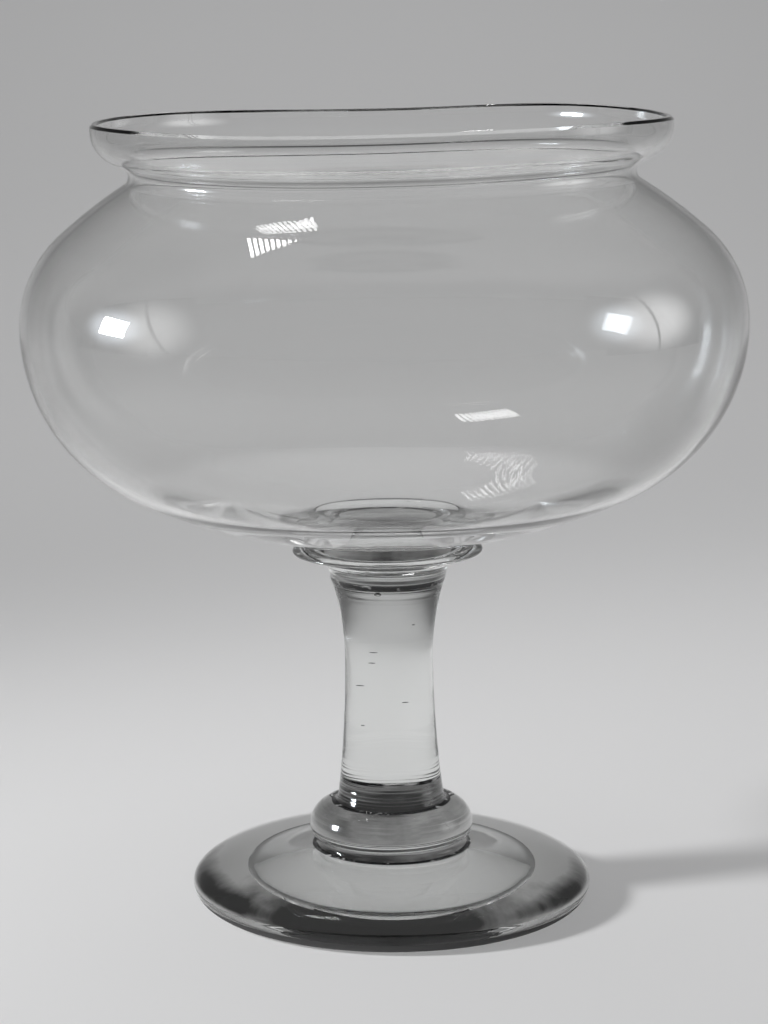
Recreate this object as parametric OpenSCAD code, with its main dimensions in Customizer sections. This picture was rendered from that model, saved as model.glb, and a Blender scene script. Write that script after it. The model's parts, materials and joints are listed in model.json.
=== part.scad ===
// Footed bowl in clear hand-blown glass: a bulging bowl with a cupped lip on a thin collar,
// a solid waisted stem, a cushion knop, a foot collar and a rounded foot, all joined hot.
// Millimetres, +Z up. The foot stands on z = 0 and is centred on the Z axis.

/* [Stance] */
// Lean of the stem and bowl towards -X on the level foot, in degrees
lean = 0.8; // [0:0.1:3]

/* [Foot] */
// Widest diameter of the foot
foot_d = 128.5; // [110:0.5:150]
// Height of the foot's widest line above the table
foot_edge_h = 6; // [3:0.5:8]
// Height of the flat on top of the foot, where the foot collar is stuck on
foot_h = 17.2; // [12:0.1:24]
// Fullness of the foot's upper curve: 2 is an ellipse, more is squarer
foot_fullness = 1.9; // [1.4:0.1:3]
// How far the ring that touches the table is set in from the widest line
foot_tuck = 6; // [2:0.5:9]
// Width of the ring that touches the table
foot_ring_w = 14; // [8:0.5:28]
// Height of the hollow under the middle of the foot
foot_hollow_h = 5.5; // [1.5:0.5:8]

/* [Foot collar] */
// Diameter of the disc between foot and knop
foot_collar_d = 55.5; // [50:0.5:66]
// Thickness of the disc between foot and knop
foot_collar_h = 4.2; // [2.5:0.1:7]

/* [Knop] */
// Diameter of the cushion knop
knop_d = 52.6; // [46:0.2:66]
// Height of the cushion knop
knop_h = 10.3; // [7:0.1:14]
// Height of the knop's widest line above its underside
knop_edge_h = 2.6; // [1.5:0.1:4]

/* [Stem] */
// Length of the stem from knop to bowl collar
stem_l = 73.8; // [55:0.1:120]
// Diameter of the stem at its waist
stem_waist_d = 28.2; // [20:0.2:32]
// Height of the waist above the knop
stem_waist_h = 47.5; // [25:0.5:52]
// Diameter of the stem's top, which the bowl collar is stuck on
stem_top_d = 37; // [33:0.5:42]
// Diameter that the stem's lower curve reaches at the knop, without its fillet
stem_foot_d = 34.6; // [32.6:0.2:36.6]
// Fillet where the stem spreads on to the knop
stem_fillet_r = 2.2; // [1:0.1:4]

/* [Bowl collar] */
// Diameter of the thin lip of the collar
bowl_collar_d = 60.6; // [56:0.2:80]
// Height of the collar from stem to bowl
bowl_collar_h = 12.5; // [10.5:0.5:18]
// Hollow curve under the collar's lip
bowl_collar_cove_r = 8; // [4:0.5:8.5]
// Thickness of the collar's lip
bowl_collar_lip_t = 1.2; // [0.8:0.1:2.4]
// Diameter of the flat that joins collar and bowl
bowl_seat_d = 48; // [36:1:54]

/* [Bowl] */
// Widest diameter of the bowl
bowl_d = 228; // [200:1:256]
// Height of the widest line above the bowl's seat
belly_h = 69; // [62:0.5:80]
// Radius of the belly's side below the widest line
belly_low_r = 58; // [45:0.5:61]
// Radius of the belly's side above the widest line
belly_top_r = 38; // [30:0.5:43]
// Height of the neck's narrowest line above the bowl's widest line
shoulder_h = 46.5; // [42:0.5:56]
// Diameter of the neck at its narrowest line
neck_d = 158; // [140:1:178]
// Radius of the neck's hollow curve
neck_curve_r = 3; // [1:0.1:4.5]
// How far the lip stands out beyond the neck
lip_reach = 11.4; // [9:0.1:16]
// Rise of the lip's underside out from the neck, in degrees
lip_slope = 27; // [10:1:50]
// Radius of the lip's curve from its underside to its upright side
lip_curve_r = 10.5; // [6:0.5:12]
// Height of the lip's upright side above its curve
lip_side_h = 2.5; // [1:0.1:10]
// Thickness of the blown wall
wall = 2.2; // [1.6:0.1:4]
// Thickness of the bottom in the middle
base_t = 6.5; // [4.5:0.5:10]
// Width and height of the bevel that is ground on the outer edge of the rim
rim_bevel = 0.9; // [0.3:0.1:1.2]

/* [Hidden] */
// Longest turn of a curve between two points of an outline, in degrees
arc_step = 4;
$fa = 3;
$fs = 0.5;
clear_glass = [0.84, 0.88, 0.88, 0.45];
thick_glass = [0.66, 0.71, 0.71, 0.6];

foot_r = foot_d / 2;
foot_seat_r = foot_collar_d / 2 - foot_collar_h / 2 + 0.5;
stem_waist_r = stem_waist_d / 2;
stem_top_r = stem_top_d / 2;
bowl_seat_r = bowl_seat_d / 2;

// Heights of the joints above the foot's flat, along the leaning axis
knop_z = foot_collar_h;
stem_z = knop_z + knop_h;
bowl_collar_z = stem_z + stem_l;
bowl_z = bowl_collar_z + bowl_collar_h;

// Radius of the stem's lower curve, and the radius that its fillet spreads to on the knop
stem_low_r = flare_r(stem_foot_d / 2 - stem_waist_r, stem_waist_h);
stem_spread_r = stem_waist_r + stem_low_r
    - sqrt(pow(stem_low_r - stem_fillet_r, 2) - pow(stem_waist_h - stem_fillet_r, 2));

// Points of an arc, without its last one, which the next stretch begins with
function arc(c, r, from, to) =
    let (n = max(2, ceil(abs(to - from) / arc_step)))
    [for (i = [0:n - 1]) let (a = from + (to - from) * i / n) c + r * [cos(a), sin(a)]];

// Direction from one point to another, in degrees
function heading(from, to) = atan2(to.y - from.y, to.x - from.x);

// Radius of a circle that leaves a vertical line and has moved out by reach after rise
function flare_r(reach, rise) = (reach * reach + rise * rise) / (2 * reach);

// Height of a centre on the axis that lies k further from p than from s
function axis_centre(p, s, k, side) =
    let (b = 2 * (s.y - p.y), a = p * p - s * s - k * k,
         qa = b * b - 4 * k * k, qb = 2 * a * b + 8 * k * k * s.y, qc = a * a - 4 * k * k * (s * s))
    (-qb + side * sqrt(qb * qb - 4 * qa * qc)) / (2 * qa);

function foot_outline() =
    let (ring_out = foot_r - foot_tuck, ring_in = ring_out - foot_ring_w,
         hollow_r = flare_r(foot_hollow_h, ring_in), hollow_c = [0, foot_hollow_h - hollow_r],
         edge_r = flare_r(foot_tuck, foot_edge_h), edge_c = [foot_r - edge_r, foot_edge_h],
         power = 2 / foot_fullness, reach = foot_r - foot_seat_r, rise = foot_h - foot_edge_h)
    concat(arc(hollow_c, hollow_r, 90, heading(hollow_c, [ring_in, 0])),
           [[ring_in, 0]],
           arc(edge_c, edge_r, heading(edge_c, [ring_out, 0]), 0),
           [for (a = [0:arc_step:90 - arc_step])
               [foot_seat_r + reach * pow(cos(a), power), foot_edge_h + rise * pow(sin(a), power)]],
           [[foot_seat_r, foot_h], [0, foot_h]]);

// A disc with a fully rounded edge, on a straight skirt
function foot_collar_outline() =
    let (edge_r = foot_collar_h / 2, flat_r = foot_collar_d / 2 - edge_r)
    concat([[0, -foot_collar_h], [flat_r, -foot_collar_h]],
           arc([flat_r, edge_r], edge_r, -90, 90), [[flat_r, foot_collar_h], [0, foot_collar_h]]);

// A low rounded edge under a dome that ends where the stem's fillet begins
function knop_outline() =
    let (under_r = knop_d / 2 - knop_edge_h, reach = knop_d / 2 - stem_spread_r, rise = knop_h - knop_edge_h)
    concat([[0, 0]],
           arc([under_r, knop_edge_h], knop_edge_h, -90, 0),
           [for (a = [0:arc_step:90 - arc_step])
               [stem_spread_r + reach * cos(a), knop_edge_h + rise * sin(a)]],
           [[stem_spread_r, knop_h], [0, knop_h]]);

function stem_outline() =
    let (low_c = [stem_waist_r + stem_low_r, stem_waist_h],
         fillet_c = [stem_spread_r, stem_fillet_r],
         join = 360 + heading(low_c, fillet_c),
         top_rise = stem_l - stem_waist_h,
         top_r = flare_r(stem_top_r - stem_waist_r, top_rise),
         top_c = [stem_waist_r + top_r, stem_waist_h])
    concat([[0, 0]],
           arc(fillet_c, stem_fillet_r, 270, join),
           arc(low_c, stem_low_r, join, 180),
           arc(top_c, top_r, 180, heading(top_c, [stem_top_r, stem_l])),
           [[stem_top_r, stem_l], [0, stem_l]]);

function bowl_collar_outline() =
    let (lip_r = bowl_collar_lip_t / 2,
         lip_c = [bowl_collar_d / 2 - lip_r, bowl_collar_cove_r + lip_r],
         cove_c = [stem_top_r + bowl_collar_cove_r, 0])
    concat([[0, 0]],
           arc(cove_c, bowl_collar_cove_r, 180, 90), [[cove_c.x, bowl_collar_cove_r]],
           arc(lip_c, lip_r, -90, 70), [lip_c + lip_r * [cos(70), sin(70)]],
           [[bowl_seat_r, bowl_collar_h], [0, bowl_collar_h]]);

function bowl_outline() =
    let (low_c = [bowl_d / 2 - belly_low_r, belly_h],
         top_c = [bowl_d / 2 - belly_top_r, belly_h],
         neck_c = [neck_d / 2 + neck_curve_r, belly_h + shoulder_h],
         // the lip's curve and the neck's curve meet on a straight underside
         curves_r = neck_curve_r + lip_curve_r, lip_a = lip_slope - 90, lip_dir = [cos(lip_a), sin(lip_a)],
         under_w = lip_reach - curves_r * (1 - sin(lip_slope)),
         rim_r = neck_d / 2 + lip_reach,
         bend_c = [rim_r - lip_curve_r, neck_c.y + curves_r * cos(lip_slope) + under_w * tan(lip_slope)],
         rim_z = bend_c.y + lip_side_h,
         // outer and inner curve of the bottom, and the curve of the shoulder
         out_c = [0, axis_centre([bowl_seat_r, 0], low_c, belly_low_r, 1)],
         out_r = norm(out_c - [bowl_seat_r, 0]),
         in_c = [0, axis_centre([0, base_t], low_c, belly_low_r - wall, 1)],
         in_r = in_c.y - base_t,
         shoulder_c = [0, axis_centre(neck_c, top_c, belly_top_r + neck_curve_r, -1)],
         shoulder_r = norm(neck_c - shoulder_c) - neck_curve_r,
         out_a = heading(out_c, low_c), in_a = heading(in_c, low_c),
         top_a = heading(shoulder_c, top_c), neck_a = heading(shoulder_c, neck_c))
    concat(arc(out_c, out_r, heading(out_c, [bowl_seat_r, 0]), out_a),
           arc(low_c, belly_low_r, out_a, 0),
           arc(top_c, belly_top_r, 0, top_a),
           arc(shoulder_c, shoulder_r, top_a, neck_a),
           arc(neck_c, neck_curve_r, 180 + neck_a, 180 + lip_a), [neck_c - neck_curve_r * lip_dir],
           arc(bend_c, lip_curve_r, lip_a, 0),
           [[rim_r, bend_c.y], [rim_r, rim_z - rim_bevel], [rim_r - rim_bevel, rim_z], [rim_r - wall, rim_z]],
           arc(bend_c, lip_curve_r - wall, 0, lip_a), [bend_c + (lip_curve_r - wall) * lip_dir],
           arc(neck_c, neck_curve_r + wall, 180 + lip_a, 180 + neck_a),
           arc(shoulder_c, shoulder_r - wall, neck_a, top_a),
           arc(top_c, belly_top_r - wall, top_a, 0),
           arc(low_c, belly_low_r - wall, 0, in_a),
           arc(in_c, in_r, in_a, -90),
           [[0, base_t], [0, 0]]);

// Puts a piece on the leaning axis at a height above the foot's flat
module leaning(z) {
    translate([0, 0, foot_h]) rotate([0, -lean, 0]) translate([0, 0, z]) children();
}

module foot() {
    color(thick_glass) rotate_extrude() polygon(foot_outline());
}

// The leaning disc is cut level below, where it is stuck on to the foot
module foot_collar() {
    color(thick_glass) difference() {
        leaning(0) rotate_extrude() polygon(foot_collar_outline());
        translate([-foot_r, -foot_r, foot_h - foot_d]) cube(foot_d);
    }
}

module knop() {
    color(thick_glass) leaning(knop_z) rotate_extrude() polygon(knop_outline());
}

module stem() {
    color(thick_glass) leaning(stem_z) rotate_extrude() polygon(stem_outline());
}

module bowl_collar() {
    color(thick_glass) leaning(bowl_collar_z) rotate_extrude() polygon(bowl_collar_outline());
}

module bowl() {
    color(clear_glass) leaning(bowl_z) rotate_extrude() polygon(bowl_outline());
}

foot();
foot_collar();
knop();
stem();
bowl_collar();
bowl();
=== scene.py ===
"""Footed bowl in clear hand-blown glass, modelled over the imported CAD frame.

Metres, +Z up. The foot stands on z = 0, and the stem and bowl lean with the frame's rim.
"""

import json
from math import atan2, ceil, cos, degrees, hypot, pi, radians, sin, sqrt, tan

import bpy
from bpy.props import FloatProperty, FloatVectorProperty, IntProperty, PointerProperty
from mathutils import Matrix, Vector


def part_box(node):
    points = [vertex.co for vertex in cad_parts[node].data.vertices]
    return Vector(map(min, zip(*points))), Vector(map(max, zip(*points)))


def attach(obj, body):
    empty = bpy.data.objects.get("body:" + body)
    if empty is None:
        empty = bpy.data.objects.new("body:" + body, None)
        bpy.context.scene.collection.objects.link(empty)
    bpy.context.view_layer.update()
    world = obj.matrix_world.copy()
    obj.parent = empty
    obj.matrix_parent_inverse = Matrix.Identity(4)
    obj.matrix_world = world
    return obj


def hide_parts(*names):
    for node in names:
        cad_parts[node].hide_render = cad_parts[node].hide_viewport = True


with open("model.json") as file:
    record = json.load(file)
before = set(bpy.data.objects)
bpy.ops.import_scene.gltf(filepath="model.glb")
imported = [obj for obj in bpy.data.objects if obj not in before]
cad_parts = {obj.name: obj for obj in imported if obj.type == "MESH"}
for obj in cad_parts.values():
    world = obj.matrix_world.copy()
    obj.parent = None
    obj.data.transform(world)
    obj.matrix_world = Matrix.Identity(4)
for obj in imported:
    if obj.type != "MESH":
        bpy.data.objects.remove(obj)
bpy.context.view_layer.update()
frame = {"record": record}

bl_info = {
    "name": "Footed Glass Bowl",
    "version": (1, 0, 0),
    "blender": (4, 5, 0),
    "location": "View3D > Sidebar > Glass Bowl",
    "description": "Models a hand-blown footed glass bowl piece by piece",
    "category": "Add Mesh",
}

MM = 0.001
FOOT_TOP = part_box("foot")[1].z
RIM = next(mount for mount in frame["record"]["mounts"] if mount["name"] == "rim_rest")
AXIS = Vector(RIM["axis"])
UPRIGHT = Vector((0, 0, 1))
LEAN = Matrix.Translation((0, 0, FOOT_TOP)) @ UPRIGHT.rotation_difference(AXIS).to_matrix().to_4x4()

# Places in a piece's list of materials, after the glass itself. The last, and the joint's place on foot and
# stem, hold dull materials of painted shade; on the foot the last also has dust.
JOINT, SEAM, DUST_AND_SHADE = 1, 2, 3

# Height over which the waves of a surface fade out beside a joint
WAVE_FADE = 6 * MM

# Heights above the table, at the stem's two ends, round which tool rings lie, and how far they spread
TOOL_LEVELS = (34 * MM, 106 * MM)
TOOL_REACH = 7 * MM

# Distance from the middle inside which the worn ring's painted shade is lighter, and outside which it is
# darker
RING_SHADE_RADIUS = 53.5 * MM

# Bubbles, in millimetres: place and half sizes of the one at the stem's top, (x, z, half width) of
# the flat ones drawn across the stem with what they share, and (x, y, z, radius) of those in the bowl
TOP_SEED = ((-3, -13, 71), (1.1, 0.8, 0.7))
STREAKS = (
    (-4.4, 51, 1.3), (-5, 47.5, 1.1), (-9, 40, 1.6),
    (4.4, 34.5, 1), (-8, 27, 0.7), (7, 60, 0.5),
)
STREAK_Y, STREAK_DEPTH, STREAK_HEIGHT = -9, 0.3, 0.16
BOWL_SEEDS = (
    (-17, -6, 3.4, 0.5), (-11, 9, 2.6, 0.35), (3, -14, 3.8, 0.45),
    (12, 4, 2.8, 0.6), (19, -7, 3, 0.4), (7, 15, 3.6, 0.5),
)
SEED_FLATNESS = 0.6

# Where the rim rises or sags: degrees round it and millimetres of rise. What lies within the grip of
# such a place moves by that much, and what lies within the reach moves less the further off it is.
RIM_SAGS = ((45, 1.2), (95, -0.7), (145, 0.5), (245, -0.6), (320, 0.6))
SAG_GRIP = 3 * MM
SAG_REACH = 70 * MM


def length(name, text, default):
    """A size in metres that the sidebar shows with its unit."""
    return FloatProperty(name=name, description=text, default=default, min=0, unit="LENGTH", precision=4)


def amount(name, text, default, **more):
    """A number, not below 0, that the sidebar shows with its unit or subtype, if it has one."""
    return FloatProperty(name=name, description=text, default=default, min=0, **more)


def colour(name, text, default):
    """A colour that the sidebar shows."""
    return FloatVectorProperty(name=name, description=text, default=default, subtype="COLOR")


class GlassBowlShape(bpy.types.PropertyGroup):
    """Sizes of the pieces."""

    foot_radius: length("Foot radius", "Widest radius of the foot", 64.25 * MM)
    foot_edge: length("Foot edge", "Height of the foot's widest line", 6 * MM)
    foot_tuck: length("Foot tuck", "Set-in of the ring that touches the table", 6 * MM)
    foot_ring: length("Foot ring", "Width of the ring that touches the table", 14 * MM)
    foot_hollow: length("Foot hollow", "Height of the hollow under the foot", 5.5 * MM)
    foot_land: length("Foot land", "Level ring of the foot's top outside the collar", 0.5 * MM)
    foot_fullness: FloatProperty(
        name="Foot fullness", description="2 is an ellipse, more is squarer", default=1.9, min=1.4, max=4
    )
    collar_radius: length("Foot collar radius", "Radius of the disc under the knop", 27.75 * MM)
    collar_height: length("Foot collar height", "Thickness of the disc under the knop", 4.2 * MM)
    knop_radius: length("Knop radius", "Radius of the cushion knop", 26.3 * MM)
    knop_height: length("Knop height", "Height of the cushion knop", 10.3 * MM)
    knop_edge: length("Knop edge", "Height of the knop's widest line above its underside", 2.6 * MM)
    stem_length: length("Stem length", "From the knop to the bowl collar", 73.8 * MM)
    stem_waist: length("Stem waist", "Radius of the stem at its waist", 14.1 * MM)
    waist_height: length("Waist height", "Height of the waist above the knop", 47.5 * MM)
    stem_top: length("Stem top", "Radius of the stem under the bowl collar", 18.5 * MM)
    stem_foot: length("Stem foot", "Radius that the lower curve reaches at the knop", 17.3 * MM)
    stem_fillet: length("Stem fillet", "Fillet where the stem spreads on to the knop", 2.2 * MM)
    merese_radius: length("Bowl collar radius", "Radius of the collar's thin lip", 30.3 * MM)
    merese_height: length("Bowl collar height", "Height from stem to bowl", 12.5 * MM)
    merese_cove: length("Bowl collar cove", "Hollow curve under the collar's lip", 8 * MM)
    merese_lip: length("Bowl collar lip", "Thickness of the collar's lip", 1.2 * MM)
    seat_radius: length("Bowl seat radius", "Radius of the joint between collar and bowl", 24 * MM)
    bowl_radius: length("Bowl radius", "Widest radius of the bowl", 114 * MM)
    belly_height: length("Belly height", "Height of the widest line above the seat", 69 * MM)
    belly_low: length("Belly low radius", "Curve below the widest line", 58 * MM)
    belly_top: length("Belly top radius", "Curve above the widest line", 38 * MM)
    shoulder: length("Shoulder height", "From the widest line up to the neck", 46.5 * MM)
    neck_radius: length("Neck radius", "Radius of the neck's narrowest line", 79 * MM)
    neck_curve: length("Neck curve", "Hollow curve of the neck", 3 * MM)
    lip_reach: length("Lip reach", "How far the lip stands out beyond the neck", 11.4 * MM)
    lip_slope: amount("Lip slope", "Rise of the lip from the neck", radians(27), subtype="ANGLE")
    lip_curve: length("Lip curve", "Curve between the lip's slope and its upright side", 10.5 * MM)
    lip_side: length("Lip side", "Height of the lip's upright side above its curve", 2.5 * MM)
    wall: length("Wall", "Thickness of the blown wall", 2.2 * MM)
    base: length("Base", "Thickness of the bowl's bottom in the middle", 6.5 * MM)
    rim_bevel: length("Rim bevel", "Bevel ground on the outer edge of the rim", 0.9 * MM)
    rim_break: length("Rim break", "Small bevel on the inner edge of the rim", 0.15 * MM)
    segments: IntProperty(name="Segments", description="Steps of a full turn", default=192, min=48, max=256)


class GlassBowlFinish(bpy.types.PropertyGroup):
    """Colours, irregularities and painted shade of the glass."""

    blown_colour: colour("Blown glass", "Tint of the bowl", (0.998, 1, 0.997))
    solid_colour: colour("Solid glass", "Tint of stem and foot", (0.93, 0.942, 0.93))
    waviness: length("Waviness", "Depth of the hand-made waves", 0.25 * MM)
    seam: length("Seam", "Width of the dark seam round the joints of foot and stem", 2 * MM)
    thin_seam: length("Thin seam", "Width of the seam under the knop and under the bowl", 2 / 3 * MM)
    # A band of painted shade, in the seam's dark material, round the top of the stem
    top_shade_band: length("Crease", "Height of the dark line round the top of the stem", 1 * MM)
    # The foot's outside up to this height is a dusty, scuffed ring, darkened with painted shade
    ring_shade_height: length("Worn height", "How far dirt climbs the outside of the foot", 3.5 * MM)


class GlassBowlStage(bpy.types.PropertyGroup):
    """Floor, lights and camera."""

    floor_colour: colour("Floor", "Colour of the floor", (0.755, 0.755, 0.76))
    floor_width: length("Floor width", "From side to side", 16)
    floor_front: length("Floor front", "How far the floor reaches before the bowl", 8)
    gap: length("Gap", "Thin air between the foot and the floor", 0.2 * MM)
    sweep_start: length("Sweep start", "Where the floor starts to rise behind the bowl", 0.4)
    sweep_radius: length("Sweep radius", "Radius of the rising backdrop", 6)
    room_low: amount("Room below", "Grey of the room at and under the horizon", 0.065)
    room_high: amount("Room above", "Grey of the room overhead", 0.094)
    key: amount("Key", "Light from the left that casts the shadow", 100, unit="POWER")
    pool: amount("Pool", "Light on the floor round the bowl", 5.1, unit="POWER")
    fill: amount("Fill", "Wide light from above", 25.5, unit="POWER")
    under: amount("Through the foot", "Light on the floor under the foot", 40, unit="POWER")
    wash: amount("Wash", "Light on the floor far behind the bowl", 19.7, unit="POWER")
    lamp_glow: amount("Lamp glow", "Brightness of the ceiling lamp's reflection", 20)
    window_glow: amount("Window glow", "Brightness of the window's reflection", 90)
    halo_glow: amount("Halo glow", "Brightness of the halo round the window", 4)
    reflector_glow: amount("Reflector glow", "Brightness of the reflector on the right", 2.6)
    focal: amount("Focal length", "Of the camera, in millimetres", 102.3)
    side: FloatProperty(
        name="Side", description="Camera's shift to the right", default=-2.5 * MM, unit="LENGTH", precision=4
    )
    distance: length("Distance", "From the camera to the bowl's axis, along the floor", 0.910)
    height: length("Height", "Of the camera above the floor", 0.293)
    pitch: amount("Pitch", "How far the camera looks down", radians(10.4), subtype="ANGLE")


class Outline:
    """Draws the outline of a turned piece with one moving point, as (radius, height) on the X-Z plane."""

    def __init__(self, name, r, z):
        bpy.ops.object.select_all(action="DESELECT")
        bpy.ops.mesh.primitive_plane_add(size=MM)
        self.obj = bpy.context.object
        self.obj.name = self.obj.data.name = name
        bpy.ops.object.mode_set(mode="EDIT")
        bpy.ops.mesh.select_all(action="SELECT")
        bpy.ops.mesh.merge(type="CENTER")
        bpy.ops.transform.translate(value=(r, 0, z))
        self.r, self.z = r, z

    def line(self, r, z, steps=1):
        """Extrudes the point straight to a place."""
        move = ((r - self.r) / steps, 0, (z - self.z) / steps)
        for _ in range(steps):
            bpy.ops.mesh.extrude_vertices_move(TRANSFORM_OT_translate={"value": move})
        self.r, self.z = r, z

    def arc(self, centre, end, step=2.5):
        """Spins the point round a centre until it stands at an angle. End and step are in degrees."""
        cr, cz = centre
        radius = hypot(self.r - cr, self.z - cz)
        begin = degrees(atan2(self.z - cz, self.r - cr))
        turn = (end - begin + 180) % 360 - 180
        bpy.ops.mesh.spin(
            steps=max(2, ceil(abs(turn) / step)), angle=radians(turn), center=(cr, 0, cz), axis=(0, 1, 0)
        )
        self.r, self.z = cr + radius * cos(radians(end)), cz + radius * sin(radians(end))

    def disc(self, r, z, seam):
        """Extrudes the point from the axis out to a radius, or back, with a narrow ring at the edge."""
        if self.r == 0:
            self.line(r - seam, z, steps=4)
            self.line(r, z)
        else:
            self.line(r, z)
            self.line(r - seam, z)
            self.line(0, z, steps=4)

    def curve(self, points):
        """Extrudes the point along a row of places."""
        for r, z in points:
            self.line(r, z)

    def turn(self, steps):
        """Spins the outline round the axis and closes it."""
        bpy.ops.mesh.select_all(action="SELECT")
        bpy.ops.mesh.spin(steps=steps, angle=2 * pi, center=(0, 0, 0), axis=(0, 0, 1))
        bpy.ops.mesh.select_all(action="SELECT")
        bpy.ops.mesh.remove_doubles(threshold=1e-6)
        bpy.ops.mesh.normals_make_consistent(inside=False)
        bpy.ops.object.mode_set(mode="OBJECT")
        bpy.ops.object.shade_smooth_by_angle(angle=radians(35))
        return self.obj


def heading(start, end):
    """Direction from one point to another, in degrees."""
    return degrees(atan2(end[1] - start[1], end[0] - start[0]))


def flare(reach, rise):
    """Radius of a circle that leaves a vertical line and has moved out by reach after rise."""
    return (reach * reach + rise * rise) / (2 * reach)


def quarter(step):
    """Angles between level and upright, in radians, a step in degrees apart."""
    return (radians(step * count) for count in range(1, round(90 / step)))


def axis_centre(far, near, gap, side):
    """Height of a centre on the axis that lies further from one point than from another, by gap.

    The two distances, squared, leave a quadratic in that height, and side picks its root.
    """
    near_square, gap_term = near[0] ** 2 + near[1] ** 2, 4 * gap ** 2
    rest = far[0] ** 2 + far[1] ** 2 - near_square - gap ** 2
    slope = 2 * (near[1] - far[1])
    square = slope ** 2 - gap_term
    linear = 2 * rest * slope + 2 * gap_term * near[1]
    constant = rest ** 2 - gap_term * near_square
    return (-linear + side * sqrt(linear ** 2 - 4 * square * constant)) / (2 * square)


def stem_spread(size):
    """Radius of the stem's fillet on the knop."""
    low = flare(size.stem_foot - size.stem_waist, size.waist_height)
    rise = size.waist_height - size.stem_fillet
    return size.stem_waist + low - sqrt((low - size.stem_fillet) ** 2 - rise ** 2)


def stem_end(size):
    """Height of the stem's top above the foot, along the leaning axis."""
    return size.collar_height + size.knop_height + size.stem_length


def pick(obj):
    """Selects one piece alone and makes it the active one."""
    bpy.ops.object.select_all(action="DESELECT")
    obj.select_set(True)
    bpy.context.view_layer.objects.active = obj


def place(obj, height):
    """Puts an upright piece on the leaning axis, at a height above the foot, with its place in its mesh."""
    obj.matrix_world = LEAN @ Matrix.Translation((0, 0, height))
    pick(obj)
    bpy.ops.object.transform_apply(location=True, rotation=True, scale=True)


def coat(obj, *materials):
    """Gives a piece its list of materials: the glass, then those at the joint, the seam and the last place,
    some of them dull materials of painted shade.
    """
    for material in materials:
        obj.data.materials.append(material)


def level(face):
    """Tells whether a face lies level."""
    return abs(face.normal.z) > 0.999


def fuse(obj, z, radius, seam, joint=JOINT):
    """Gives the level faces at a height, inside a radius, the material of a joint, with a seam round it."""
    for face in obj.data.polygons:
        far = hypot(face.center.x, face.center.y)
        if abs(face.center.z - z) < 0.01 * MM and level(face) and far < radius:
            face.material_index = SEAM if far > radius - seam else joint


def wave(obj, name, span, depth, keep):
    """Moves the surface by soft noise, which fades to nothing near the heights in keep."""
    group = obj.vertex_groups.new(name=name)
    for vertex in obj.data.vertices:
        near = min(abs(vertex.co.z - z) for z in keep)
        group.add([vertex.index], min(1.0, near / WAVE_FADE), "REPLACE")
    texture = bpy.data.textures.new(name, "CLOUDS")
    texture.noise_scale = span
    texture.noise_depth = 1
    mod = obj.modifiers.new(name, "DISPLACE")
    mod.texture, mod.texture_coords = texture, "LOCAL"
    mod.strength, mod.mid_level, mod.direction = depth, 0.5, "NORMAL"
    mod.vertex_group = name
    pick(obj)
    bpy.ops.object.modifier_apply(modifier=name)
    obj.vertex_groups.clear()


def seed(obj, spot, size):
    """Adds a small bubble inside the glass, by its place and half sizes in millimetres."""
    pick(obj)
    bpy.ops.object.mode_set(mode="EDIT")
    bpy.ops.mesh.select_all(action="DESELECT")
    location, scale = ([value * MM for value in values] for values in (spot, size))
    bpy.ops.mesh.primitive_ico_sphere_add(subdivisions=3, radius=1, location=location, scale=scale)
    bpy.ops.mesh.flip_normals()
    bpy.ops.object.mode_set(mode="OBJECT")


def sag(obj, spot, rise):
    """Lifts or sinks the glass softly around one spot."""
    pick(obj)
    for vertex in obj.data.vertices:
        vertex.select = (vertex.co - Vector(spot)).length < SAG_GRIP
    for part in (*obj.data.edges, *obj.data.polygons):
        part.select = False
    bpy.ops.object.mode_set(mode="EDIT")
    bpy.ops.transform.translate(
        value=(0, 0, rise),
        use_proportional_edit=True,
        proportional_edit_falloff="SMOOTH",
        proportional_size=SAG_REACH,
    )
    bpy.ops.object.mode_set(mode="OBJECT")


def finish_piece(obj, node, height=None):
    """Puts a piece in place, as the CAD node it stands for."""
    if height is not None:
        place(obj, height)
    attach(obj, "root")
    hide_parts(node)


def set_inputs(node, **values):
    """Sets a node's inputs, whose names are written with underscores for spaces."""
    for name, value in values.items():
        node.inputs[name.replace("_", " ")].default_value = value


def add_node(tree, kind, **values):
    """Adds a shader node with the values of its inputs."""
    node = tree.nodes.new(kind)
    set_inputs(node, **values)
    return node


def add_group(tree, group, **values):
    """Places a node group in a material with its own values."""
    node = tree.nodes.new("ShaderNodeGroup")
    node.node_tree = group
    set_inputs(node, **values)
    return node


def new_group(name, inputs, outputs):
    """Adds a node group, from its inputs' defaults and its outputs' kinds, with its two end nodes."""
    tree = bpy.data.node_groups.new(name, "ShaderNodeTree")
    for socket, value in inputs.items():
        kind = "NodeSocketVector" if isinstance(value, tuple) else "NodeSocketFloat"
        tree.interface.new_socket(socket, in_out="INPUT", socket_type=kind).default_value = value
    for socket, kind in outputs.items():
        tree.interface.new_socket(socket, in_out="OUTPUT", socket_type=kind)
    return tree, tree.nodes.new("NodeGroupInput"), tree.nodes.new("NodeGroupOutput")


def calc(tree, operation, a, b=0.0):
    """Adds a maths node and returns its result."""
    node = tree.nodes.new("ShaderNodeMath")
    node.operation = operation
    for socket, value in zip(node.inputs, (a, b)):
        if isinstance(value, (int, float)):
            socket.default_value = value
        else:
            tree.links.new(value, socket)
    return node.outputs["Value"]


def measure(tree, vector, operation):
    """Adds a vector maths node that turns a vector into a number."""
    node = tree.nodes.new("ShaderNodeVectorMath")
    node.operation = operation
    tree.links.new(vector, node.inputs[0])
    return node


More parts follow.
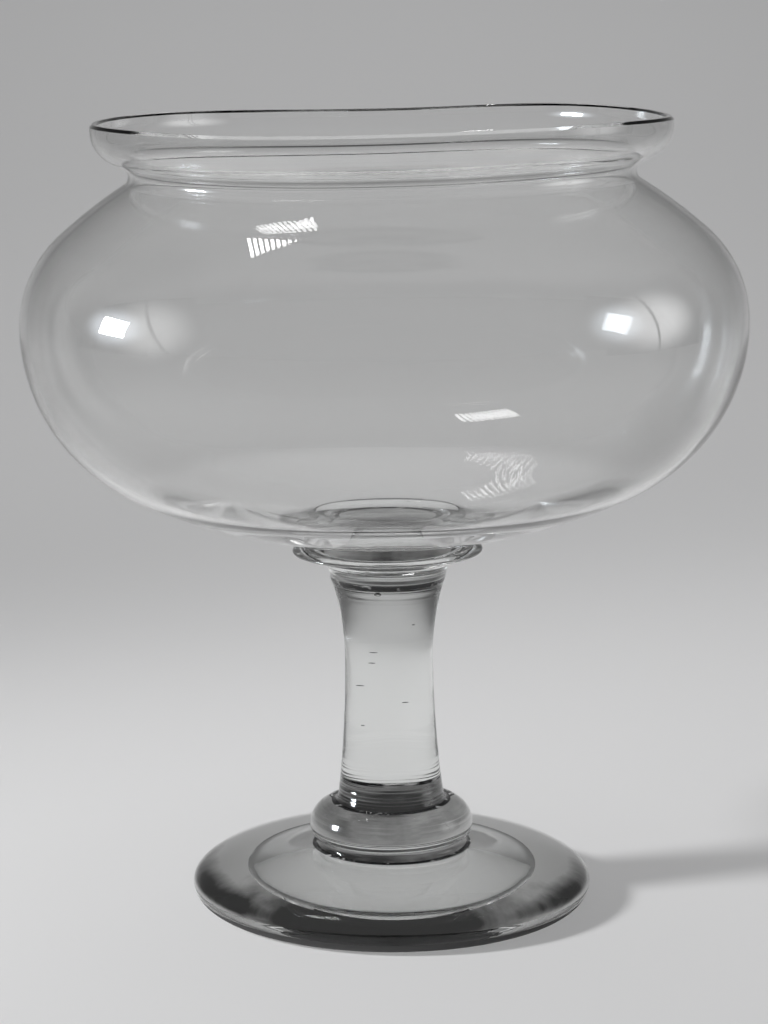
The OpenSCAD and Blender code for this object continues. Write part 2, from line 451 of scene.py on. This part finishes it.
def tool_marks(tree, position, strength):
    """Adds fine rings round the stem's two ends and returns their height."""
    stretch = add_node(tree, "ShaderNodeMapping", Scale=(4, 4, 500))
    rings = add_node(tree, "ShaderNodeTexNoise", Scale=1)
    split = add_node(tree, "ShaderNodeSeparateXYZ")
    tree.links.new(position, stretch.inputs["Vector"])
    tree.links.new(stretch.outputs["Vector"], rings.inputs["Vector"])
    tree.links.new(position, split.inputs["Vector"])
    near = 0.0
    for height in TOOL_LEVELS:
        gap = calc(tree, "ABSOLUTE", calc(tree, "SUBTRACT", split.outputs["Z"], height))
        near = calc(tree, "MAXIMUM", near, calc(tree, "SUBTRACT", 1, calc(tree, "DIVIDE", gap, TOOL_REACH)))
    return calc(tree, "MULTIPLY", calc(tree, "MULTIPLY", rings.outputs["Fac"], near), strength)


def glass_surface():
    """Node group: soft ripples, tool rings at the stem's ends and smudges of hand-worked glass."""
    name = "Glass surface"
    if name in bpy.data.node_groups:
        return bpy.data.node_groups[name]
    tree, start, end = new_group(
        name,
        {"Ripple Scale": 30, "Tool Rings": 0, "Smudge Scale": 45, "Smudge Roughness": 0.05},
        {"Height": "NodeSocketFloat", "Roughness": "NodeSocketFloat"},
    )
    links = tree.links
    position = add_node(tree, "ShaderNodeTexCoord").outputs["Object"]
    squash = add_node(tree, "ShaderNodeMapping", Scale=(1, 1, 3))
    ripple = add_node(tree, "ShaderNodeTexNoise", Detail=1.5)
    links.new(position, squash.inputs["Vector"])
    links.new(squash.outputs["Vector"], ripple.inputs["Vector"])
    links.new(start.outputs["Ripple Scale"], ripple.inputs["Scale"])
    marks = tool_marks(tree, position, start.outputs["Tool Rings"])
    links.new(calc(tree, "ADD", ripple.outputs["Fac"], marks), end.inputs["Height"])
    smudge = add_node(tree, "ShaderNodeTexNoise", Detail=6, Roughness=0.65)
    spread = add_node(tree, "ShaderNodeMapRange", From_Min=0.5, From_Max=0.75)
    links.new(position, smudge.inputs["Vector"])
    links.new(start.outputs["Smudge Scale"], smudge.inputs["Scale"])
    links.new(smudge.outputs["Fac"], spread.inputs["Value"])
    links.new(start.outputs["Smudge Roughness"], spread.inputs["To Max"])
    links.new(spread.outputs["Result"], end.inputs["Roughness"])
    return tree


def painted_shade_and_dust():
    """Node group: mottled grey of painted shade, lighter along a slope, towards the middle and by a shift.
    On the foot's ring the mottling stands for dust.
    """
    name = "Ingrained dirt"
    if name in bpy.data.node_groups:
        return bpy.data.node_groups[name]
    tree, start, end = new_group(
        name,
        {"Slope": (0, 0, 0), "Inwards": 0, "Shift": 0, "Dark": 0, "Light": 1},
        {"Color": "NodeSocketColor"},
    )
    links = tree.links
    position = add_node(tree, "ShaderNodeTexCoord").outputs["Object"]
    dust_and_shade = add_node(tree, "ShaderNodeTexNoise", Scale=70, Detail=7, Roughness=0.6)
    links.new(position, dust_and_shade.inputs["Vector"])
    along = measure(tree, position, "DOT_PRODUCT")
    links.new(start.outputs["Slope"], along.inputs[1])
    far = measure(tree, position, "LENGTH")
    inwards = calc(tree, "SUBTRACT", RING_SHADE_RADIUS, far.outputs["Value"])
    inwards = calc(tree, "MULTIPLY", inwards, start.outputs["Inwards"])
    # Painted shade: lighter along the slope and towards the middle
    shade_lift = calc(tree, "ADD", along.outputs["Value"], calc(tree, "MINIMUM", inwards, 0.5))
    shade_lift = calc(tree, "ADD", shade_lift, start.outputs["Shift"])
    tone = add_node(tree, "ShaderNodeMapRange", From_Min=0.15, From_Max=0.7)
    links.new(calc(tree, "ADD", dust_and_shade.outputs["Fac"], shade_lift), tone.inputs["Value"])
    links.new(start.outputs["Dark"], tone.inputs["To Min"])
    links.new(start.outputs["Light"], tone.inputs["To Max"])
    links.new(tone.outputs["Result"], end.inputs["Color"])
    return tree


def new_material(name):
    """Adds a material and returns it with its node tree and its shader."""
    mat = bpy.data.materials.new(name)
    mat.use_nodes = True
    return mat, mat.node_tree, mat.node_tree.nodes["Principled BSDF"]


def glass_material(name, tint, ripple_scale, bump, rings=0.0):
    """Clear glass with its own tint, ripples and tool rings."""
    if name in bpy.data.materials:
        return bpy.data.materials[name]
    mat, tree, shader = new_material(name)
    set_inputs(shader, Base_Color=(*tint, 1), Transmission_Weight=1, IOR=1.5)
    surface = add_group(tree, glass_surface(), Ripple_Scale=ripple_scale, Tool_Rings=rings)
    relief = add_node(tree, "ShaderNodeBump", Strength=1, Distance=bump)
    tree.links.new(surface.outputs["Height"], relief.inputs["Height"])
    tree.links.new(relief.outputs["Normal"], shader.inputs["Normal"])
    tree.links.new(surface.outputs["Roughness"], shader.inputs["Roughness"])
    return mat


def blown_glass(finish):
    """Thin, nearly colourless glass of the bowl."""
    return glass_material("Blown glass", finish.blown_colour, ripple_scale=14, bump=0.05 * MM)


def solid_glass(finish):
    """Thick, slightly grey glass of stem and foot, marked by tools."""
    return glass_material("Solid glass", finish.solid_colour, ripple_scale=40, bump=0.08 * MM, rings=14)


def joint_material():
    """Unseen face where two pieces are melted into one."""
    name = "Fused joint"
    if name in bpy.data.materials:
        return bpy.data.materials[name]
    mat, _, shader = new_material(name)
    set_inputs(shader, Alpha=0)
    return mat


def seam_material():
    """Dark, glassy seam, with grey dots painted in for the glints of trapped air."""
    name = "Seam"
    if name in bpy.data.materials:
        return bpy.data.materials[name]
    mat, tree, shader = new_material(name)
    set_inputs(shader, Roughness=0.15)
    position = add_node(tree, "ShaderNodeTexCoord").outputs["Object"]
    glint_specks = add_node(tree, "ShaderNodeTexNoise", Scale=320, Detail=2)
    tone = add_node(tree, "ShaderNodeValToRGB")
    glass, air = tone.color_ramp.elements
    glass.position, glass.color = 0.58, (0.012, 0.012, 0.013, 1)
    # The light stop paints glints of trapped air
    air.position, air.color = 0.7, (0.5, 0.5, 0.5, 1)
    tree.links.new(position, glint_specks.inputs["Vector"])
    tree.links.new(glint_specks.outputs["Fac"], tone.inputs["Fac"])
    tree.links.new(tone.outputs["Color"], shader.inputs["Base Color"])
    return mat


def shaded_dull_material(name, **values):
    """Dull face of painted shade with mottling, by the values of that node group."""
    if name in bpy.data.materials:
        return bpy.data.materials[name]
    mat, tree, shader = new_material(name)
    set_inputs(shader, Roughness=0.7)
    dust_and_shade = add_group(tree, painted_shade_and_dust(), **values)
    tree.links.new(dust_and_shade.outputs["Color"], shader.inputs["Base Color"])
    return mat


def worn_ring_with_shade():
    """Scuffed, dusty ring that the foot stands on, with painted shade that is lighter at the back and
    inside.
    """
    return shaded_dull_material("Worn ring", Slope=(1.5, 24, 0), Inwards=110, Shift=0.06, Dark=0.06, Light=0.6)


def joint_shade_sheet():
    """Dull grey sheet of painted shade in a joint."""
    return shaded_dull_material("Joint film", Slope=(3.5, 12, 0), Shift=-0.08, Dark=0.035, Light=0.5)


def stem_shade_sheet():
    """Darker sheet of painted shade under the stem."""
    return shaded_dull_material("Stem film", Slope=(3.5, 12, 0), Shift=-0.36, Dark=0.035, Light=0.5)


class GLASSBOWL_OT_foot(bpy.types.Operator):
    """Model the rounded foot"""

    bl_idname = "glassbowl.foot"
    bl_label = "Foot"

    def execute(self, context):
        size, finish = context.scene.glass_bowl_shape, context.scene.glass_bowl_finish
        ring_out = size.foot_radius - size.foot_tuck
        ring_in = ring_out - size.foot_ring
        hollow = (0, size.foot_hollow - flare(size.foot_hollow, ring_in))
        edge = (size.foot_radius - flare(size.foot_tuck, size.foot_edge), size.foot_edge)
        seat = size.collar_radius - size.collar_height / 2
        land = seat + size.foot_land
        reach, rise, power = size.foot_radius - land, FOOT_TOP - size.foot_edge, 2 / size.foot_fullness
        pen = Outline("foot_glass", 0, size.foot_hollow)
        pen.arc(hollow, heading(hollow, (ring_in, 0)), step=1)
        pen.line(ring_out, 0, steps=3)
        pen.arc(edge, 0)
        pen.curve(
            (land + reach * cos(angle) ** power, size.foot_edge + rise * sin(angle) ** power)
            for angle in quarter(2.5)
        )
        pen.line(land, FOOT_TOP)
        pen.disc(seat, FOOT_TOP, finish.seam)
        obj = pen.turn(size.segments)
        coat(obj, solid_glass(finish), joint_shade_sheet(), seam_material(), worn_ring_with_shade())
        # The joint under the collar is a sheet of painted shade
        fuse(obj, FOOT_TOP, seat, finish.seam)
        # The ring on the table and the foot's outside up to a height: dusty and scuffed, with painted shade
        for face in obj.data.polygons:
            far = hypot(face.center.x, face.center.y)
            if face.center.z < finish.ring_shade_height and far > ring_in:
                face.material_index = DUST_AND_SHADE
        wave(obj, "foot_wave", span=45 * MM, depth=finish.waviness, keep=(0, FOOT_TOP))
        finish_piece(obj, "foot")
        return {"FINISHED"}


class GLASSBOWL_OT_foot_collar(bpy.types.Operator):
    """Model the disc between foot and knop, cut level where it is stuck on to the foot"""

    bl_idname = "glassbowl.foot_collar"
    bl_label = "Foot collar"

    def execute(self, context):
        size, finish = context.scene.glass_bowl_shape, context.scene.glass_bowl_finish
        half = size.collar_height / 2
        flat = size.collar_radius - half
        knop_flat = size.knop_radius - size.knop_edge
        pen = Outline("foot_collar_glass", 0, -size.collar_height)
        pen.line(flat, -size.collar_height)
        pen.line(flat, 0)
        pen.arc((flat, half), 90, step=6)
        pen.disc(knop_flat, size.collar_height, finish.thin_seam)
        obj = pen.turn(size.segments)
        coat(obj, solid_glass(finish), joint_material(), seam_material())
        fuse(obj, size.collar_height, knop_flat, finish.thin_seam)
        place(obj, 0)
        bpy.ops.object.mode_set(mode="EDIT")
        bpy.ops.mesh.select_all(action="SELECT")
        bpy.ops.mesh.bisect(
            plane_co=(0, 0, FOOT_TOP), plane_no=(0, 0, 1), use_fill=True, clear_inner=True, threshold=1e-7
        )
        bpy.ops.object.mode_set(mode="OBJECT")
        fuse(obj, FOOT_TOP, flat, 0)
        finish_piece(obj, "foot_collar")
        return {"FINISHED"}


class GLASSBOWL_OT_knop(bpy.types.Operator):
    """Model the cushion knop"""

    bl_idname = "glassbowl.knop"
    bl_label = "Knop"

    def execute(self, context):
        size, finish = context.scene.glass_bowl_shape, context.scene.glass_bowl_finish
        flat, stem = size.knop_radius - size.knop_edge, stem_spread(size)
        reach, rise = size.knop_radius - stem, size.knop_height - size.knop_edge
        pen = Outline("knop_glass", 0, 0)
        pen.disc(flat, 0, finish.thin_seam)
        pen.arc((flat, size.knop_edge), 0, step=5)
        pen.curve((stem + reach * cos(angle), size.knop_edge + rise * sin(angle)) for angle in quarter(3))
        pen.disc(stem, size.knop_height, finish.seam)
        obj = pen.turn(size.segments)
        coat(obj, solid_glass(finish), joint_material(), seam_material(), stem_shade_sheet())
        fuse(obj, 0, flat, finish.thin_seam)
        # The top, inside the stem, is a sheet of darker painted shade
        fuse(obj, size.knop_height, stem, finish.seam, DUST_AND_SHADE)
        wave(obj, "knop_wave", span=30 * MM, depth=finish.waviness, keep=(0, size.knop_height))
        finish_piece(obj, "knop", size.collar_height)
        return {"FINISHED"}


class GLASSBOWL_OT_stem(bpy.types.Operator):
    """Model the waisted stem"""

    bl_idname = "glassbowl.stem"
    bl_label = "Stem"

    def execute(self, context):
        size, finish = context.scene.glass_bowl_shape, context.scene.glass_bowl_finish
        spread, waist = stem_spread(size), size.waist_height
        fillet = (spread, size.stem_fillet)
        low = (size.stem_waist + flare(size.stem_foot - size.stem_waist, waist), waist)
        top = (size.stem_waist + flare(size.stem_top - size.stem_waist, size.stem_length - waist), waist)
        pen = Outline("stem_glass", 0, 0)
        pen.disc(spread, 0, finish.seam)
        pen.arc(fillet, heading(low, fillet), step=6)
        pen.arc(low, 180, step=1)
        pen.arc(top, heading(top, (size.stem_top, size.stem_length)), step=1)
        pen.disc(size.stem_top, size.stem_length, finish.seam)
        obj = pen.turn(size.segments)
        coat(obj, solid_glass(finish), joint_shade_sheet(), seam_material(), stem_shade_sheet())
        # Sheets of painted shade at both ends, the darker one at the bottom
        fuse(obj, 0, spread, finish.seam, DUST_AND_SHADE)
        fuse(obj, size.stem_length, size.stem_top, finish.seam)
        # Painted shade: the seam's dark material on the side just under the top
        for face in obj.data.polygons:
            if not level(face) and face.center.z > size.stem_length - finish.top_shade_band:
                face.material_index = SEAM
        wave(obj, "stem_wave", span=35 * MM, depth=finish.waviness, keep=(0, size.stem_length))
        seed(obj, *TOP_SEED)
        for x, z, width in STREAKS:
            seed(obj, (x, STREAK_Y, z), (width, STREAK_DEPTH, STREAK_HEIGHT))
        finish_piece(obj, "stem", size.collar_height + size.knop_height)
        return {"FINISHED"}


class GLASSBOWL_OT_bowl_collar(bpy.types.Operator):
    """Model the thin saucer collar under the bowl"""

    bl_idname = "glassbowl.bowl_collar"
    bl_label = "Bowl collar"

    def execute(self, context):
        size, finish = context.scene.glass_bowl_shape, context.scene.glass_bowl_finish
        lip = size.merese_lip / 2
        lip_centre = (size.merese_radius - lip, size.merese_cove + lip)
        cove = (size.stem_top + size.merese_cove, 0)
        pen = Outline("bowl_collar_glass", 0, 0)
        pen.disc(size.stem_top, 0, finish.seam)
        pen.arc(cove, 90)
        pen.line(lip_centre[0], size.merese_cove, steps=2)
        pen.arc(lip_centre, 70, step=8)
        pen.line(size.seat_radius, size.merese_height, steps=3)
        pen.disc(size.seat_radius, size.merese_height, finish.thin_seam)
        obj = pen.turn(size.segments)
        coat(obj, solid_glass(finish), joint_material(), seam_material(), joint_shade_sheet())
        # The underside inside the stem is a sheet of painted shade
        fuse(obj, 0, size.stem_top, finish.seam, DUST_AND_SHADE)
        fuse(obj, size.merese_height, size.seat_radius, finish.thin_seam)
        wave(obj, "bowl_collar_wave", span=30 * MM, depth=finish.waviness, keep=(0, size.merese_height))
        finish_piece(obj, "bowl_collar", stem_end(size))
        return {"FINISHED"}


class GLASSBOWL_OT_bowl(bpy.types.Operator):
    """Model the blown bowl with its neck and cupped lip"""

    bl_idname = "glassbowl.bowl"
    bl_label = "Bowl"

    def execute(self, context):
        size, finish = context.scene.glass_bowl_shape, context.scene.glass_bowl_finish
        low = (size.bowl_radius - size.belly_low, size.belly_height)
        top = (size.bowl_radius - size.belly_top, size.belly_height)
        neck = (size.neck_radius + size.neck_curve, size.belly_height + size.shoulder)
        curves, rim_r = size.neck_curve + size.lip_curve, size.neck_radius + size.lip_reach
        slope = (size.lip_reach - curves * (1 - sin(size.lip_slope))) * tan(size.lip_slope)
        bend = (rim_r - size.lip_curve, neck[1] + curves * cos(size.lip_slope) + slope)
        rim_z, lip = bend[1] + size.lip_side, degrees(size.lip_slope) - 90
        out, down = cos(radians(lip)), sin(radians(lip))
        under = (0, axis_centre((size.seat_radius, 0), low, size.belly_low, 1))
        inside = (0, axis_centre((0, size.base), low, size.belly_low - size.wall, 1))
        shoulder = (0, axis_centre(neck, top, size.belly_top + size.neck_curve, -1))
        pen = Outline("bowl_glass", 0, 0)
        pen.disc(size.seat_radius, 0, finish.thin_seam)
        pen.arc(under, heading(under, low), step=1)
        pen.arc(low, 0, step=2)
        pen.arc(top, heading(shoulder, top), step=2)
        pen.arc(shoulder, heading(shoulder, neck), step=1)
        pen.arc(neck, 180 + lip, step=5)
        pen.line(bend[0] + size.lip_curve * out, bend[1] + size.lip_curve * down, steps=3)
        pen.arc(bend, 0, step=3)
        pen.line(rim_r, rim_z - size.rim_bevel)
        pen.line(rim_r - size.rim_bevel, rim_z)
        pen.line(rim_r - size.wall + size.rim_break, rim_z, steps=2)
        pen.line(rim_r - size.wall, rim_z - size.rim_break)
        pen.line(rim_r - size.wall, bend[1])
        pen.arc(bend, lip, step=3)
        over = size.neck_curve + size.wall
        pen.line(neck[0] - over * out, neck[1] - over * down, steps=3)
        pen.arc(neck, 180 + heading(shoulder, neck), step=5)
        pen.arc(shoulder, heading(shoulder, top), step=1)
        pen.arc(top, 0, step=2)
        pen.arc(low, heading(inside, low), step=2)
        pen.arc(inside, -90, step=1)
        obj = pen.turn(size.segments)
        coat(obj, blown_glass(finish), joint_material(), seam_material())
        fuse(obj, 0, size.seat_radius, finish.thin_seam)
        wave(obj, "bowl_wave", span=90 * MM, depth=finish.waviness, keep=(0,))
        for x, y, z, radius in BOWL_SEEDS:
            seed(obj, (x, y, z), (radius, radius, SEED_FLATNESS * radius))
        for angle, rise in RIM_SAGS:
            spot = (rim_r * cos(radians(angle)), rim_r * sin(radians(angle)), rim_z)
            sag(obj, spot, rise * MM)
        finish_piece(obj, "bowl", stem_end(size) + size.merese_height)
        return {"FINISHED"}


def add_lamp(name, data, position, aim, watts):
    """Adds a lamp that is not itself seen, pointed at a place."""
    data.energy = watts
    obj = bpy.data.objects.new(name, data)
    bpy.context.scene.collection.objects.link(obj)
    obj.location = position
    obj.rotation_euler = (Vector(aim) - Vector(position)).to_track_quat("-Z", "Y").to_euler()
    obj.visible_camera = obj.visible_glossy = obj.visible_transmission = False
    return obj


def area_light(name, position, aim, size, watts):
    """A flat soft light."""
    data = bpy.data.lights.new(name, "AREA")
    data.shape, data.size, data.size_y = "RECTANGLE", *size
    return add_lamp(name, data, position, aim, watts)


def spot_light(name, position, aim, cone, radius, watts):
    """A light with a soft-edged cone, in degrees."""
    data = bpy.data.lights.new(name, "SPOT")
    data.spot_size, data.spot_blend, data.shadow_soft_size = radians(cone), 1, radius
    return add_lamp(name, data, position, aim, watts)


def card(name, position, aim, size, material):
    """A glowing panel that shows only as a reflection in the glass."""
    bpy.ops.object.select_all(action="DESELECT")
    bpy.ops.mesh.primitive_plane_add(size=1)
    obj = bpy.context.object
    obj.name = obj.data.name = name
    obj.location, obj.scale = position, (*size, 1)
    obj.rotation_euler = (Vector(position) - Vector(aim)).to_track_quat("Z", "Y").to_euler()
    obj.data.materials.append(material)
    obj.visible_camera = obj.visible_diffuse = obj.visible_shadow = False
    return obj


def glow_material(name, tint=(1, 1, 1)):
    """Adds the material of a panel and returns it with its node tree and the socket of its brightness."""
    mat, tree, _ = new_material(name)
    tree.nodes.clear()
    glow = add_node(tree, "ShaderNodeEmission", Color=(*tint, 1))
    end = add_node(tree, "ShaderNodeOutputMaterial")
    tree.links.new(glow.outputs["Emission"], end.inputs["Surface"])
    return mat, tree, glow.inputs["Strength"]


def panel_place(tree):
    """Place on a panel, whole and as its parts across and up. The middle is 0 and an edge is at 0.5."""
    position = add_node(tree, "ShaderNodeTexCoord").outputs["Object"]
    split = add_node(tree, "ShaderNodeSeparateXYZ")
    tree.links.new(position, split.inputs["Vector"])
    return position, split.outputs["X"], split.outputs["Y"]


def fade_out(tree, position, full, falloff):
    """Falls from 1, as far as full from the middle of a panel, to 0 at its edge."""
    fade = add_node(tree, "ShaderNodeMapRange", From_Min=0.5, From_Max=full)
    fade.interpolation_type = falloff
    tree.links.new(measure(tree, position, "LENGTH").outputs["Value"], fade.inputs["Value"])
    return fade.outputs["Result"]


def louvre_glow(stage):
    """Light of a ceiling lamp between blades."""
    blades, blade_share = 12, 0.42
    mat, tree, brightness = glow_material("Louvred glow")
    _, across, _ = panel_place(tree)
    pitch = calc(tree, "FRACT", calc(tree, "MULTIPLY", across, blades))
    gap = calc(tree, "GREATER_THAN", pitch, blade_share)
    tree.links.new(calc(tree, "MULTIPLY", gap, stage.lamp_glow), brightness)
    return mat


def window_glow(stage):
    """Light of a window, a third of the panel's size, in a faint halo, all of it bluish."""
    half_pane = 1 / 6
    mat, tree, brightness = glow_material("Window glow", (0.86, 0.93, 1))
    position, across, up = panel_place(tree)
    side = calc(tree, "MAXIMUM", calc(tree, "ABSOLUTE", across), calc(tree, "ABSOLUTE", up))
    pane = calc(tree, "MULTIPLY", calc(tree, "LESS_THAN", side, half_pane), stage.window_glow)
    halo = fade_out(tree, position, full=0.05, falloff="SMOOTHERSTEP")
    halo = calc(tree, "MULTIPLY", halo, stage.halo_glow)
    tree.links.new(calc(tree, "ADD", pane, halo), brightness)
    return mat


def round_glow(stage):
    """Light of a round panel that fades towards its edge, with a dark upright seam."""
    half_seam = 0.012
    mat, tree, brightness = glow_material("Round glow")
    position, across, _ = panel_place(tree)
    seam = calc(tree, "GREATER_THAN", calc(tree, "ABSOLUTE", across), half_seam)
    disc = calc(tree, "MULTIPLY", fade_out(tree, position, full=0.1, falloff="SMOOTHSTEP"), seam)
    tree.links.new(calc(tree, "MULTIPLY", disc, stage.reflector_glow), brightness)
    return mat


def floor_material(stage):
    """Pale matt floor."""
    mat, _, shader = new_material("Floor")
    set_inputs(shader, Base_Color=(*stage.floor_colour, 1), Roughness=0.9, Specular_IOR_Level=0.1)
    return mat


def add_floor(stage):
    """Adds the floor, which sweeps up behind the bowl."""
    bpy.ops.object.select_all(action="DESELECT")
    bpy.ops.mesh.primitive_plane_add(size=1)
    floor = bpy.context.object
    floor.name = floor.data.name = "floor"
    for vertex in floor.data.vertices:
        y = -stage.floor_front if vertex.co.y < 0 else stage.sweep_start
        vertex.co = (vertex.co.x * stage.floor_width, y, -stage.gap)
        vertex.select = y > 0
    for edge in floor.data.edges:
        edge.select = all(floor.data.vertices[index].co.y > 0 for index in edge.vertices)
    floor.data.polygons[0].select = False
    sweep_centre = (0, stage.sweep_start, stage.sweep_radius - stage.gap)
    bpy.ops.object.mode_set(mode="EDIT")
    bpy.ops.mesh.spin(steps=48, angle=radians(90), center=sweep_centre, axis=(-1, 0, 0))
    bpy.ops.mesh.select_all(action="SELECT")
    bpy.ops.mesh.normals_make_consistent(inside=True)
    bpy.ops.object.mode_set(mode="OBJECT")
    bpy.ops.object.shade_smooth()
    floor.data.materials.append(floor_material(stage))
    return floor


def add_room(scene, stage):
    """Adds the dim grey room, lighter overhead."""
    world = bpy.data.worlds.new("Studio")
    world.use_nodes = True
    tree = world.node_tree
    sky, rise = add_node(tree, "ShaderNodeTexCoord"), add_node(tree, "ShaderNodeSeparateXYZ")
    shade = add_node(tree, "ShaderNodeMapRange", To_Min=stage.room_low, To_Max=stage.room_high)
    tree.links.new(sky.outputs["Generated"], rise.inputs["Vector"])
    tree.links.new(rise.outputs["Z"], shade.inputs["Value"])
    tree.links.new(shade.outputs["Result"], tree.nodes["Background"].inputs["Color"])
    scene.world = world


def add_lamps(stage, floor):
    """Adds the lamps. The glass blocks only the key, so that it casts one shadow."""
    spot_light("Key", (-1.53, -0.45, 0.95), aim=(0.05, 0, 0.05), cone=34, radius=0.15, watts=stage.key)
    floor_lamps = (
        spot_light("Pool", (0, -0.05, 1.8), aim=(0, -0.05, 0), cone=30, radius=0.3, watts=stage.pool),
        spot_light("Fill", (0, 0.3, 1.6), aim=(0, 0.3, 0), cone=100, radius=0.3, watts=stage.fill),
        spot_light("Through the foot", (0, 0, 1.8), aim=(0, 0, 0), cone=4, radius=0.005, watts=stage.under),
        area_light("Wash", (0, 1.5, 2.2), aim=(0, 1.8, 0.163), size=(1, 0.5), watts=stage.wash),
    )
    floor_only = bpy.data.collections.new("Floor only")
    floor_only.objects.link(floor)
    for lamp in floor_lamps:
        lamp.light_linking.blocker_collection = floor_only


def add_cards(scene, stage):
    """Adds the panels that the glass reflects. The two at the sides leave the foot out."""
    lamp = louvre_glow(stage)
    card("Louvred ceiling lamp", (-0.64, 0.48, 2.15), aim=(-0.64, 0.48, 0), size=(0.42, 0.26), material=lamp)
    aim = (0, 0, 0.15)
    sides = (
        card("Window", (-1.6, 0, 0.47), aim, size=(0.93, 0.84), material=window_glow(stage)),
        card("Round reflector", (1.6, 0, 0.5), aim, size=(1.3, 1.2), material=round_glow(stage)),
    )
    upper = bpy.data.collections.new("Above the foot")
    for name in ("foot_collar_glass", "knop_glass", "stem_glass", "bowl_collar_glass", "bowl_glass"):
        upper.objects.link(scene.objects[name])
    for panel in sides:
        panel.light_linking.receiver_collection = upper


def add_camera(scene, stage):
    """Adds the camera in front of the bowl, looking down at it."""
    data = bpy.data.cameras.new("Camera")
    data.lens, data.clip_end = stage.focal, 50
    camera = bpy.data.objects.new("Camera", data)
    scene.collection.objects.link(camera)
    camera.location = (stage.side, -stage.distance, stage.height)
    camera.rotation_euler = (pi / 2 - stage.pitch, 0, 0)
    scene.camera = camera


def set_rendering(scene):
    """Lets light pass through all the walls of glass, and shows its levels as they are."""
    scene.view_settings.view_transform = "Standard"
    cycles = scene.cycles
    cycles.max_bounces, cycles.glossy_bounces, cycles.transmission_bounces = 24, 16, 24
    cycles.transparent_max_bounces = 32
    cycles.caustics_reflective = cycles.caustics_refractive = False


class GLASSBOWL_OT_stage(bpy.types.Operator):
    """Set up the floor, the lights and the camera"""

    bl_idname = "glassbowl.stage"
    bl_label = "Stage"

    def execute(self, context):
        scene, stage = context.scene, context.scene.glass_bowl_stage
        floor = add_floor(stage)
        add_room(scene, stage)
        add_lamps(stage, floor)
        add_cards(scene, stage)
        add_camera(scene, stage)
        set_rendering(scene)
        return {"FINISHED"}


class GLASSBOWL_PT_panel(bpy.types.Panel):
    """Lists the pieces and their sizes"""

    bl_label = "Glass Bowl"
    bl_space_type = "VIEW_3D"
    bl_region_type = "UI"
    bl_category = "Glass Bowl"

    def draw(self, context):
        column = self.layout.column()
        for operator in OPERATORS:
            column.operator(operator.bl_idname)
        for name, group in GROUPS.items():
            for value in group.__annotations__:
                column.prop(getattr(context.scene, name), value)


OPERATORS = (
    GLASSBOWL_OT_foot,
    GLASSBOWL_OT_foot_collar,
    GLASSBOWL_OT_knop,
    GLASSBOWL_OT_stem,
    GLASSBOWL_OT_bowl_collar,
    GLASSBOWL_OT_bowl,
    GLASSBOWL_OT_stage,
)
GROUPS = {
    "glass_bowl_shape": GlassBowlShape,
    "glass_bowl_finish": GlassBowlFinish,
    "glass_bowl_stage": GlassBowlStage,
}


def register():
    for cls in (*GROUPS.values(), *OPERATORS, GLASSBOWL_PT_panel):
        bpy.utils.register_class(cls)
    for name, group in GROUPS.items():
        setattr(bpy.types.Scene, name, PointerProperty(type=group))


def unregister():
    for name in GROUPS:
        delattr(bpy.types.Scene, name)
    for cls in (GLASSBOWL_PT_panel, *reversed(OPERATORS), *reversed(GROUPS.values())):
        bpy.utils.unregister_class(cls)


def main():
    register()
    bpy.ops.glassbowl.foot()
    bpy.ops.glassbowl.foot_collar()
    bpy.ops.glassbowl.knop()
    bpy.ops.glassbowl.stem()
    bpy.ops.glassbowl.bowl_collar()
    bpy.ops.glassbowl.bowl()
    bpy.ops.glassbowl.stage()


if __name__ == "__main__":
    main()
